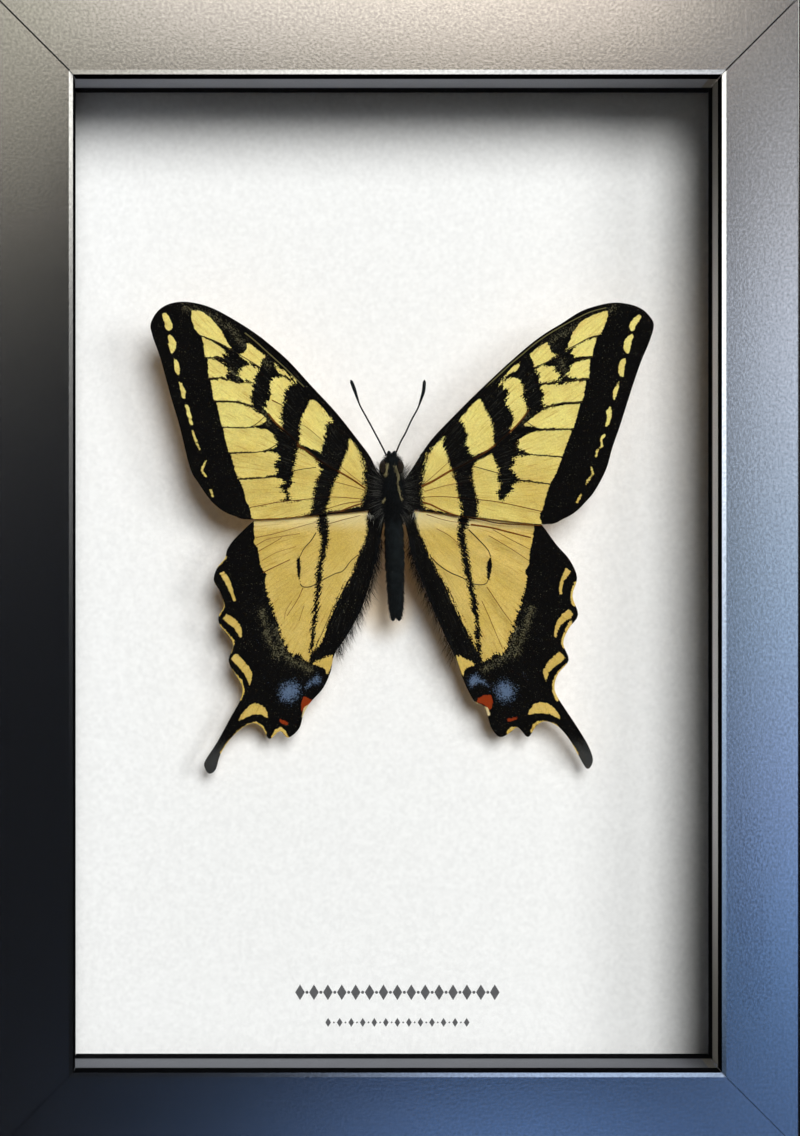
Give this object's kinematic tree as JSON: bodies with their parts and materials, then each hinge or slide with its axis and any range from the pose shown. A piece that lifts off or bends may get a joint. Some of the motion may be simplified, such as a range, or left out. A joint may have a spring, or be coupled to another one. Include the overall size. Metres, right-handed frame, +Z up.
{
  "type": "framed butterfly specimen",
  "caption": "Black shadow-box frame, upright, glazed in front, with one spread swallowtail butterfly mounted on its white board.",
  "frame": {"origin": "middle of the frame's footprint, on the surface it stands on", "axes": "+Z up along the frame's height, -Y out of the glass towards the viewer, +X to the viewer's right"},
  "size_m": [0.135, 0.031, 0.1935],
  "materials": {
    "frame_lacquer": "satin black lacquer over finely pebbled gesso on a wood moulding",
    "pane_glass": "clear polished float glass",
    "spacer_card": "pale grey foamed board, cut edges",
    "white_board": "matt white rag board with a faint tooth",
    "fibreboard": "raw brown hardboard",
    "point_steel": "stamped spring steel",
    "hanger_brass": "brass-plated stamped steel",
    "pad_foam": "closed-cell foam",
    "insect_body": "black chitin with dense fine hair",
    "insect_wing": "dry powdery scales, butter yellow with black bands"
  },
  "bodies": {
    "root": {"frame_top": "frame_lacquer", "frame_bottom": "frame_lacquer", "frame_left": "frame_lacquer", "frame_right": "frame_lacquer", "glass_pane": "pane_glass", "spacer_top": "spacer_card", "spacer_bottom": "spacer_card", "spacer_left": "spacer_card", "spacer_right": "spacer_card", "mount_board": "white_board", "backing_board": "fibreboard", "retaining_point_1": "point_steel", "retaining_point_2": "point_steel", "retaining_point_3": "point_steel", "retaining_point_4": "point_steel", "retaining_point_5": "point_steel", "retaining_point_6": "point_steel", "sawtooth_hanger": "hanger_brass", "hanger_nail_left": "hanger_brass", "hanger_nail_right": "hanger_brass", "mounting_pad": "pad_foam", "body": "insect_body", "forewing_left": "insect_wing", "forewing_right": "insect_wing", "hindwing_left": "insect_wing", "hindwing_right": "insect_wing", "antenna_left": "insect_body", "antenna_right": "insect_body"}
  },
  "joints": []
}
